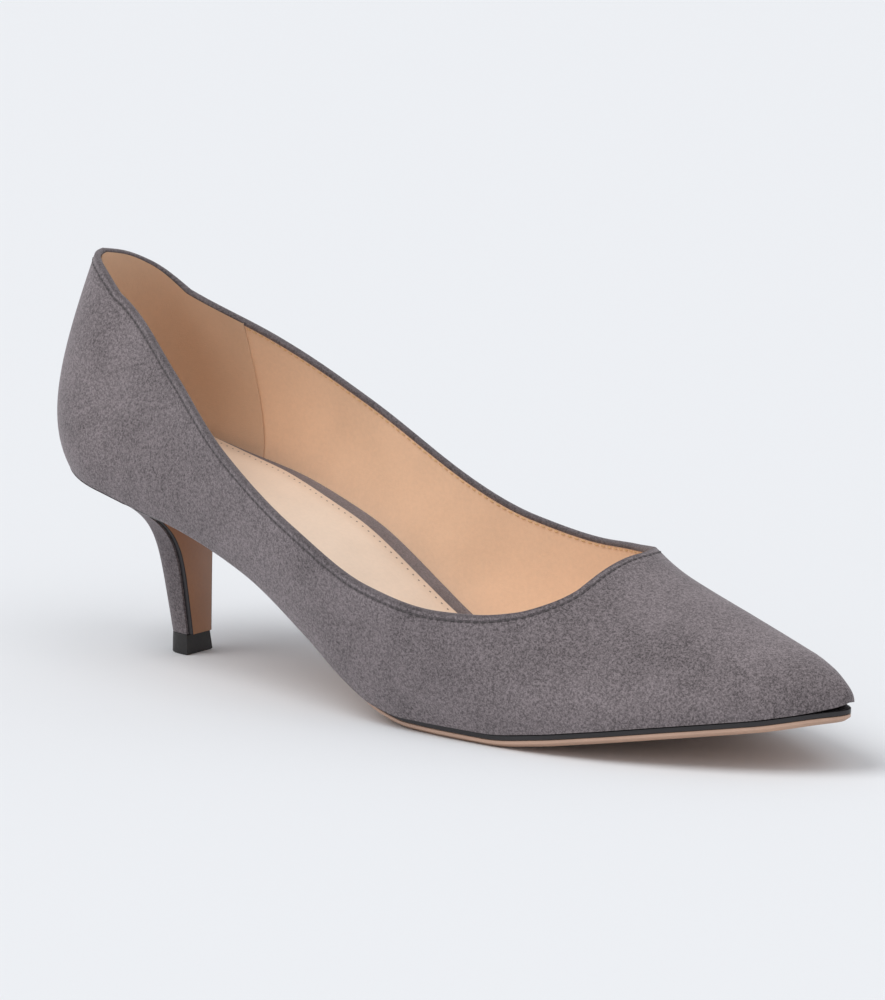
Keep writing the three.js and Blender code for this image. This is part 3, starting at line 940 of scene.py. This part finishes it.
class PumpColours(bpy.types.PropertyGroup):
    suede: bpy.props.FloatVectorProperty(
        name="Suede", description="Colour of the suede", subtype="COLOR",
        default=(0.172, 0.148, 0.154), min=0.0, max=1.0)
    lining: bpy.props.FloatVectorProperty(
        name="Lining", description="Colour of the lining leather", subtype="COLOR",
        default=(0.88, 0.61, 0.42), min=0.0, max=1.0)
    sock: bpy.props.FloatVectorProperty(
        name="Sock", description="Colour of the sock leather", subtype="COLOR",
        default=(0.88, 0.72, 0.58), min=0.0, max=1.0)
    sole: bpy.props.FloatVectorProperty(
        name="Sole", description="Colour of the sole leather", subtype="COLOR",
        default=(0.56, 0.36, 0.26), min=0.0, max=1.0)
    # Tan of the breast leather, painted darker than the sole's as shade on the breast that faces
    # forward and down.
    breast: bpy.props.FloatVectorProperty(
        name="Heel Breast", description="Colour of the leather on the heel's breast",
        subtype="COLOR",
        default=(0.33, 0.16, 0.085), min=0.0, max=1.0)
    thread: bpy.props.FloatVectorProperty(
        name="Lining Thread", description="Colour of the thread seen on the lining",
        subtype="COLOR",
        default=(0.72, 0.46, 0.22), min=0.0, max=1.0)


# Operators.

class PUMP_OT_materials(bpy.types.Operator):
    """Makes the suede, leather, edge paint, rubber and thread"""
    bl_idname = "pump.materials"
    bl_label = "Make Materials"

    def execute(self, context):
        make_materials()
        return {"FINISHED"}


class PUMP_OT_upper(bpy.types.Operator):
    """Builds the suede upper with its folded edge and the margin under the foot"""
    bl_idname = "pump.upper"
    bl_label = "Build Upper"

    def execute(self, context):
        faces = Faces()
        outer, inner, _, normal, edge = collar_loop()
        loop = dense_loop(outer, LOOP_SPACING)
        for side, sign in SIDES.items():
            ups = rows_up(STATIONS, side, 0)
            grid = np.stack([skin_point(STATIONS, side, up) for up in ups])
            distance = distance_to_loop(grid.reshape(-1, 3), loop).reshape(grid.shape[:2])
            normals = grid_normals(grid, -sign)
            fade = np.clip(distance / FORM_FADE, 0, 1)[..., None]
            moved = grid + (swell(grid, normals, side) - grid) * fade
            moved[0], moved[-1] = grid[0], grid[-1]
            moved[:, 0] = grid[:, 0]
            faces.grid(moved, edge=distance, flip=sign > 0)
            tuck = outline_point(STATIONS, side, MARGIN_WIDTH / 2, LENGTH - MARGIN_TOE_INSET, 0)
            faces.grid([moved[-1], tuck], flip=sign > 0)
        arcs = self.fold(outer, inner, normal, edge)
        steps = [[0.0] * len(outer)] * len(arcs)
        faces.grid(arcs, closed=True, edge=steps)
        faces.make("suede_upper", [material("Grey suede")], ("upper",), 60)
        return {"FINISHED"}

    def fold(self, outer, inner, normal, edge):
        """Rows over the folded edge, from the outer skin to its end on the lining."""
        middle = (outer + inner) / 2
        across = outer - inner
        proud = RIM_STEP * normal
        arcs = []
        for i in range(FOLD_TURNS + 1):
            turn = math.pi * i / FOLD_TURNS
            inward = proud * (1 - math.cos(turn)) / 2
            arcs.append(middle + across / 2 * math.cos(turn) - inward
                        + edge * FOLD_CROWN * math.sin(turn))
        end = inner - proud
        arcs.append(end - edge * RIM_DEPTH * 0.5)
        arcs.append(end - edge * RIM_DEPTH)
        arcs.append(end + proud * 1.6 - edge * (RIM_DEPTH + RIM_TUCK))
        return arcs


class PUMP_OT_lining(bpy.types.Operator):
    """Builds the leather lining and the heel grip sewn over its back"""
    bl_idname = "pump.lining"
    bl_label = "Build Lining"

    def execute(self, context):
        faces = Faces()
        for side, sign in SIDES.items():
            ups = rows_up(STATIONS, side, WALL, MARGIN_THICKNESS)
            grid = [skin_point(STATIONS, side, up, WALL) for up in ups]
            faces.grid(grid, flip=sign < 0)
        faces.make("lining", [material("Lining leather")], (), 60)
        self.grip(context.scene.pump_sizes.grip_front)
        return {"FINISHED"}

    def grip(self, front):
        """The grip lies on the lining from seam to seam round the heel."""
        faces = Faces()
        for side, sign in SIDES.items():
            along = np.linspace(0, along_at(front), GRIP_STATIONS)
            ups = rows_up(along, side, WALL, MARGIN_THICKNESS)
            top = [skin_point(along, side, up, WALL + GRIP_THICKNESS) for up in ups]
            base = [skin_point(along, side, up, WALL + GRIP_LIFT) for up in ups]
            grid = [np.vstack([row, under[-1:]]) for row, under in zip(top, base)]
            faces.grid(grid, flip=sign < 0)
        return faces.make("heel_grip", [material("Heel grip leather")], (), 50)


LINING_STITCH_RISE = 0.2
RAY_START = 1.5
RAY_REACH_METRES = 0.004

# One stitch: places along its half length and thickness there, as a share of the thread's.
THREAD_RINGS = ((-1.0, 0.15), (-0.8, 0.75), (-0.3, 1.0), (0.3, 1.0), (0.8, 0.75), (1.0, 0.15))


class PUMP_OT_stitches(bpy.types.Operator):
    """Sews the topline, with grey thread outside and gold thread on the lining"""
    bl_idname = "pump.stitches"
    bl_label = "Sew Topline"

    def execute(self, context):
        sizes = context.scene.pump_sizes
        outer, inner, run, normal, edge = collar_loop()
        outside = outer - edge * sizes.stitch_inset
        inside = inner - edge * (sizes.stitch_inset - LINING_STITCH_RISE)
        for name, line, skin, lift, thread in (
            ("outer_stitches", outside, "suede_upper", 0.0, "Grey thread"),
            ("lining_stitches", inside, "lining", 0.08, "Gold thread"),
        ):
            points, out, ahead = loop_samples((line, normal, run), outer, sizes.stitch_pitch)
            out *= 1 if skin == "suede_upper" else -1
            points = self.on_skin(points, out, bpy.data.objects[skin])
            self.sew(name, points + out * lift, out, ahead, sizes, thread)
        return {"FINISHED"}

    def on_skin(self, points, out, skin):
        """The nearest place of each point on a piece's surface."""
        result = []
        for point, up in zip(points, out):
            start = Vector((point + SHIFT + up * RAY_START) * METRES)
            hit, place, _, _ = skin.ray_cast(start, Vector(-up), distance=RAY_REACH_METRES)
            if not hit:
                _, place, _, _ = skin.closest_point_on_mesh(start)
            result.append(np.array(place) / METRES - SHIFT)
        return np.array(result)

    def sew(self, name, points, out, ahead, sizes, thread):
        faces = Faces()
        half, radius = sizes.stitch_length / 2, sizes.thread_width / 2
        for centre, up, forward in zip(points, out, ahead):
            forward = forward / np.linalg.norm(forward)
            side = np.cross(forward, up)
            side /= np.linalg.norm(side)
            rows = []
            for place, share in THREAD_RINGS:
                turn = np.arange(THREAD_SIDES) * 2 * math.pi / THREAD_SIDES
                ring = (side[None] * np.cos(turn)[:, None] + up[None] * np.sin(turn)[:, None])
                rows.append(centre + forward * half * place + ring * radius * share)
            faces.grid(rows, closed=True)
            faces.fan(rows[0])
            faces.fan(rows[-1])
        return faces.make(name, [material(thread)], (), 70)


def columns_between(near, far):
    return [near + (far - near) * k / PANEL_COLUMNS for k in range(PANEL_COLUMNS + 1)]


def rounded_panel(name, finish, node, tip, bottom, top, share, soft):
    """A panel inside the shoe with a softened upper edge; bottom and top are level and rise."""
    faces = Faces()

    def line(end, lift, inset, side):
        level, rise = end
        return inside_point(STATIONS, side, tip, level, rise - lift, share, inset)

    rings = ((bottom, 0.0, 0.0), (top, soft, 0.0), (top, soft * 0.7, soft * 0.3), (top, 0.0, soft))
    loops = []
    for end, lift, inset in rings:
        near, far = (line(end, lift, inset, side) for side in SIDES)
        loops.append(np.vstack([near[::-1], far[1:-1]]))
    faces.grid(loops, closed=True)
    faces.grid(columns_between(*(line(top, 0.0, soft, side) for side in SIDES)))
    near, far = (line(bottom, 0.0, 0.0, side) for side in SIDES)
    faces.grid([far, near])
    return faces.make(name, [material(finish)], (node,), 50)


def full_share(along, side):
    return 1.0


def sock_share(along, side):
    return sock_curve[side](along)


class PUMP_OT_insole(bpy.types.Operator):
    """Builds the suede-covered insole and the leather sock with its pinholes"""
    bl_idname = "pump.insole"
    bl_label = "Build Insole"

    def execute(self, context):
        rounded_panel("suede_insole", "Insole suede", "insole",
                      LENGTH - INSOLE_TOE_INSET, (insole_bottom, 0.0), (insole_top, 0.0),
                      full_share, 0.25)
        rounded_panel("leather_sock", "Sock leather", "sock_lining",
                      LENGTH - SOCK_TOE_INSET, (insole_top, 0.05), (insole_top, SOCK_RISE),
                      sock_share, 0.35)
        self.pinholes(context.scene.pump_sizes.pinhole_pitch)
        return {"FINISHED"}

    def pinholes(self, pitch):
        """Small flat dark discs along the sock's edge, painted shade where the holes of the sewing
        line are.
        """
        faces = Faces()
        tip = LENGTH - SOCK_TOE_INSET
        level = SOCK_RISE + HOLE_LIFT
        lines = []
        for side in SIDES:
            line = inside_point(STATIONS, side, tip, insole_top, level, sock_share, HOLE_INSET)
            lines.append(line if side == "lateral" else line[::-1][1:-1])
        for centre in dense_loop(np.vstack(lines), pitch):
            turn = np.arange(HOLE_SIDES) * 2 * math.pi / HOLE_SIDES
            ring = np.stack([np.cos(turn), np.sin(turn), np.zeros(HOLE_SIDES)], -1) * HOLE_RADIUS
            ahead, behind = centre[0] + HOLE_RADIUS, centre[0] - HOLE_RADIUS
            slope = feather_height(ahead) - feather_height(behind)
            ring[:, 2] = ring[:, 0] * slope / (2 * HOLE_RADIUS)
            faces.fan(centre + ring)
        return faces.make("sock_pinholes", [material("Pinhole")], (), 50)


# Levels of the outsole's edge from top to bottom: share of the depth, inset and finish, where
# 0 is the dark edge paint, 1 the tan edge and 2 the bevel and tread, their tan painted darker as
# shade.
SOLE_LEVELS = (
    (0.00, 0.25, 0),
    (0.04, 0.00, 0),
    (0.38, 0.00, 0),
    (0.43, 0.35, 0),
    (0.47, 0.05, 1),
    (0.70, 0.05, 1),
    (0.76, 0.30, 2),
    (1.00, 1.60, 2),
)


class PUMP_OT_outsole(bpy.types.Operator):
    """Builds the leather outsole with its painted edge"""
    bl_idname = "pump.outsole"
    bl_label = "Build Outsole"

    def execute(self, context):
        faces = Faces()
        along = np.concatenate([[BREAST_ALONG], STATIONS[STATIONS > BREAST_ALONG]])
        start = along.copy()
        start[0] = along_at(BREAST + GAP)
        depth = SOLE_THICKNESS * sole_curve["thickness"](along)
        inset = sole_curve["inset"](along)
        rows, slots = {side: [] for side in SIDES}, []
        for share, extra, finish in SOLE_LEVELS:
            tip = LENGTH - SOLE_TOE_INSET - extra
            level = -GAP - depth * share
            for side in SIDES:
                rows[side].append(outline_point(start, side, inset + extra, tip, level))
            slots.append([0 if place < WAIST_END else finish for place in along[:-1]])
        for side, sign in SIDES.items():
            faces.grid(rows[side], slot=slots[1:], flip=sign < 0)
        faces.grid([rows["lateral"][0], rows["medial"][0]], slot=0)
        faces.grid(columns_between(rows["lateral"][-1], rows["medial"][-1]), slot=2)
        near_end = np.array([row[0] for row in rows["lateral"]])
        far_end = np.array([row[0] for row in rows["medial"]])
        faces.grid([near_end, far_end], slot=2)
        # The bevel and tread are painted darker than the tan edge, as shade.
        finishes = [material(name) for name in ("Dark edge paint", "Sole edge", "Sole leather")]
        faces.make("leather_outsole", finishes, ("outsole",), 35)
        return {"FINISHED"}


BREAST_HEIGHT = float(feather_height(np.array(BREAST))) - GAP
SOLE_UNDER = BREAST_HEIGHT - SOLE_THICKNESS * float(sole_curve["thickness"](BREAST_ALONG)) - GAP
SOLE_LEVEL = (SOLE_UNDER - HEEL_BOTTOM) / (BREAST_HEIGHT - HEEL_BOTTOM)


def tip_point(share, grow):
    """D shape of the heel's tip, round at the back, from breast to back to breast."""
    power = 2 / TIP_SQUARENESS
    turn = (share - 0.5) * math.pi
    depth = np.maximum(np.cos(turn), 0) ** power
    width = np.sign(turn) * np.abs(np.sin(turn)) ** power
    x = TIP_CENTRE + TIP_FRONT + grow - (TIP_FRONT + TIP_BACK + grow) * depth
    return x, (TIP_HALF_WIDTH + grow) * width


def flare(shape, level):
    straight, power = shape
    return straight * level + (1 - straight) * level ** power


def heel_row(level, side):
    """Half ring of the heel at a level from tip 0 to seat 1, from its back to its breast."""
    share = np.linspace(0, 1, HEEL_COLUMNS)
    fan = HEEL_SHARE * share / SEAT_FAN_SHARE
    rest = (share - SEAT_FAN_SHARE) / (1 - SEAT_FAN_SHARE)
    straight = HEEL_SHARE + (BREAST_ALONG - HEEL_SHARE) * rest
    along = np.where(share <= SEAT_FAN_SHARE, fan, straight)
    seat = placed(along, side, half_width(along, side), -GAP)
    tip_x, tip_y = tip_point(0.5 + SIDES[side] * share / 2, 0)
    backness = np.cos(share * math.pi / 2)
    back = flare(BACK_FLARE, level)
    front = flare(FLARES["lateral"], min(level / SOLE_LEVEL, 1))
    lengthwise = front + (back - front) * backness
    side_flare = flare(FLARES[side], level)
    crosswise = side_flare + (back - side_flare) * backness
    return np.stack([
        tip_x + (seat[:, 0] - tip_x) * lengthwise,
        tip_y + (seat[:, 1] - tip_y) * crosswise,
        HEEL_BOTTOM + (seat[:, 2] - HEEL_BOTTOM) * level,
    ], -1)


# Corner of the breast leather: distances in from its edge and out from the heel's breast.
BREAST_CORNER = (
    (0.00, GAP * 0.2),
    (0.00, GAP + BREAST_COVER * 0.6),
    (0.08, GAP + BREAST_COVER * 0.9),
    (0.36, GAP + BREAST_COVER),
)

# Levels of the top piece from the floor up: height and how far it stands out from the tip.
TOP_PIECE_LEVELS = (
    (0.0, TOP_PIECE_FLARE - 0.35),
    (0.35, TOP_PIECE_FLARE),
    (TOP_PIECE_HEIGHT - 0.5, 0.02),
    (TOP_PIECE_HEIGHT - 0.1, 0.0),
    (TOP_PIECE_HEIGHT, -0.15),
    (HEEL_BOTTOM + 0.02, -0.3),
)


class PUMP_OT_heel(bpy.types.Operator):
    """Builds the suede-covered heel, the leather on its breast and the top piece"""
    bl_idname = "pump.heel"
    bl_label = "Build Heel"

    def execute(self, context):
        faces = Faces()
        levels = np.linspace(0, 1, HEEL_LEVELS)
        for side, sign in SIDES.items():
            faces.grid([heel_row(level, side) for level in levels], flip=sign > 0)
        near = np.array([heel_row(level, "lateral")[-1] for level in levels])
        far = np.array([heel_row(level, "medial")[-1] for level in levels])
        faces.grid([near, far])
        faces.grid([heel_row(1, "lateral"), heel_row(1, "medial")])
        faces.grid([heel_row(0, "medial"), heel_row(0, "lateral")])
        faces.make("suede_heel", [material("Heel suede")], ("heel",), 50)
        self.breast()
        self.top_piece()
        return {"FINISHED"}

    def breast(self):
        """Leather face with dark edges, rounded at its corners, its tan painted darker as shade.
        """
        faces = Faces()
        rings = []
        ahead = np.array([1.0, 0, 0])
        for level in np.linspace(0, SOLE_LEVEL, BREAST_LEVELS):
            near, far = (heel_row(level, side)[-1] for side in SIDES)
            inward = (far - near) / np.linalg.norm(far - near)
            near, far = near + inward * BREAST_COVER_INSET, far - inward * BREAST_COVER_INSET
            rings.append(np.array(
                [near + inward * inset + ahead * out for inset, out in BREAST_CORNER]
                + [far - inward * inset + ahead * out for inset, out in BREAST_CORNER[::-1]]))
        dark_sides = [1, 1, 1, 0, 1, 1, 1, 1]
        faces.grid(rings, slot=[dark_sides] * (len(rings) - 1), closed=True)
        faces.fan(rings[0], slot=1)
        faces.fan(rings[-1], slot=1)
        finishes = [material("Breast leather"), material("Dark edge paint")]
        faces.make("breast_leather", finishes, ("heel_breast",), 50)

    def top_piece(self):
        """Hard cap under the heel, with a fine groove under the suede."""
        faces = Faces()
        share = np.linspace(0, 1, TIP_POINTS)
        loops = []
        for height, grow in TOP_PIECE_LEVELS:
            x, y = tip_point(share, grow)
            loops.append(np.stack([x, y, np.full_like(x, height)], -1))
        faces.grid(loops, closed=True)
        faces.fan(loops[0])
        faces.fan(loops[-1])
        faces.make("rubber_top_piece", [material("Top piece rubber")],
                   ("top_piece",), 40)


# Camera of the photograph, in millimetres and degrees in the last's frame, moved in to frame the
# one shoe.
CAMERA_HEIGHT = 438.8
CAMERA_SIDE = -105.7
CAMERA_REACH = 1917.4
CAMERA_YAW = 37.86
CAMERA_ORIGIN = 44.0
CAMERA_LENS = 180.25
CAMERA_CLOSER = 1.38


class PUMP_OT_stage(bpy.types.Operator):
    """Sets the pale floor, the soft studio light and the camera"""
    bl_idname = "pump.stage"
    bl_label = "Set Stage"

    def execute(self, context):
        self.floor(context)
        self.lights(context)
        self.camera(context)
        context.scene.view_settings.view_transform = "Standard"
        return {"FINISHED"}

    def floor(self, context):
        mesh = bpy.data.meshes.new("floor")
        reach = 6.0
        corners = [(-reach, -reach, 0), (reach, -reach, 0), (reach, reach, 0), (-reach, reach, 0)]
        mesh.from_pydata(corners, [], [(0, 1, 2, 3)])
        mesh.materials.append(plain_material("Floor", (0.80, 0.815, 0.835), 0.9))
        floor = bpy.data.objects.new("floor", mesh)
        context.scene.collection.objects.link(floor)

    def lights(self, context):
        world = bpy.data.worlds.new("Studio")
        world.use_nodes = True
        background = world.node_tree.nodes["Background"]
        background.inputs["Color"].default_value = (0.93, 0.94, 0.97, 1)
        background.inputs["Strength"].default_value = 0.58
        context.scene.world = world
        self.sun(context, "key_light", (-0.7, -0.8, 1.6), 1.5, 40)
        self.sun(context, "top_light", (0.5, -0.2, 1.2), 0.45, 50)

    def sun(self, context, name, place, power, softness):
        data = bpy.data.lights.new(name, "SUN")
        data.energy = power
        data.angle = math.radians(softness)
        light = bpy.data.objects.new(name, data)
        light.location = place
        light.rotation_euler = (-Vector(place)).to_track_quat("-Z", "Y").to_euler()
        context.scene.collection.objects.link(light)

    def camera(self, context):
        yaw = math.radians(CAMERA_YAW)
        c, s = math.cos(yaw), math.sin(yaw)
        place = np.array([
            -CAMERA_SIDE * c + CAMERA_REACH * s + CAMERA_ORIGIN,
            -CAMERA_SIDE * s - CAMERA_REACH * c,
            CAMERA_HEIGHT,
        ])
        place = Vector((place + SHIFT) * METRES)
        low, high = CAD_BOX
        target = (Vector(low) + Vector(high)) / 2
        data = bpy.data.cameras.new("camera")
        data.sensor_width = SENSOR_WIDTH
        data.lens = CAMERA_LENS * CAMERA_CLOSER
        camera = bpy.data.objects.new("camera", data)
        camera.location = place
        camera.rotation_euler = (target - place).to_track_quat("-Z", "Y").to_euler()
        context.scene.collection.objects.link(camera)
        context.scene.camera = camera


OPERATORS = (
    PUMP_OT_materials,
    PUMP_OT_upper,
    PUMP_OT_lining,
    PUMP_OT_stitches,
    PUMP_OT_insole,
    PUMP_OT_outsole,
    PUMP_OT_heel,
    PUMP_OT_stage,
)


class PUMP_PT_panel(bpy.types.Panel):
    """Sizes, colours and build steps of the pump"""
    bl_label = "Pump"
    bl_idname = "PUMP_PT_panel"
    bl_space_type = "VIEW_3D"
    bl_region_type = "UI"
    bl_category = "Pump"

    def draw(self, context):
        for settings in (context.scene.pump_sizes, context.scene.pump_colours):
            for name in settings.__annotations__:
                self.layout.prop(settings, name)
        for operator in OPERATORS:
            self.layout.operator(operator.bl_idname)


CLASSES = (PumpSizes, PumpColours, *OPERATORS, PUMP_PT_panel)


def register():
    for item in CLASSES:
        bpy.utils.register_class(item)
    bpy.types.Scene.pump_sizes = bpy.props.PointerProperty(type=PumpSizes)
    bpy.types.Scene.pump_colours = bpy.props.PointerProperty(type=PumpColours)


def unregister():
    del bpy.types.Scene.pump_colours
    del bpy.types.Scene.pump_sizes
    for item in reversed(CLASSES):
        bpy.utils.unregister_class(item)


def main():
    register()
    bpy.ops.pump.materials()
    bpy.ops.pump.upper()
    bpy.ops.pump.lining()
    bpy.ops.pump.stitches()
    bpy.ops.pump.insole()
    bpy.ops.pump.outsole()
    bpy.ops.pump.heel()
    bpy.ops.pump.stage()


if __name__ == "__main__":
    main()
